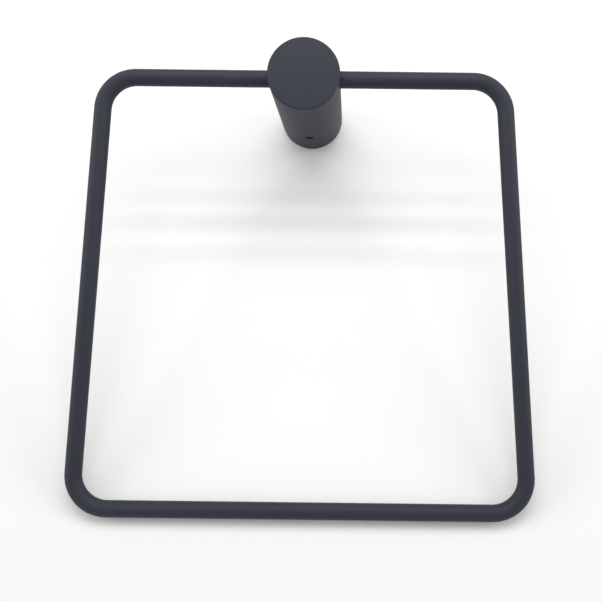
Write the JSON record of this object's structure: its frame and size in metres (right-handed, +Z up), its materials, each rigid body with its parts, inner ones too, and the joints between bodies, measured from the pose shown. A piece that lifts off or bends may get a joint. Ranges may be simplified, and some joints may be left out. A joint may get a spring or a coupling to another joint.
{
  "type": "towel ring",
  "caption": "Matte black towel ring: a round rod bent to a rounded trapezoid, held in a cylindrical post that slides over a wall bracket and locks with a grub screw.",
  "frame": {"origin": "centre of the post's base, on the wall's face", "axes": "X along the wall, +Y into the wall, +Z up; the post stands out towards -Y and the ring hangs towards -Z"},
  "size_m": [0.1952, 0.07, 0.1985],
  "materials": {
    "matte_black_coat": "fine matte powder coat",
    "plain_steel": "turned, uncoated",
    "blackened_steel": "blackened, lightly oiled"
  },
  "bodies": {
    "root": {"ring": "matte_black_coat", "post": "matte_black_coat", "wall_bracket": "plain_steel", "grub_screw": "blackened_steel", "lock_screw": "blackened_steel"}
  },
  "joints": []
}
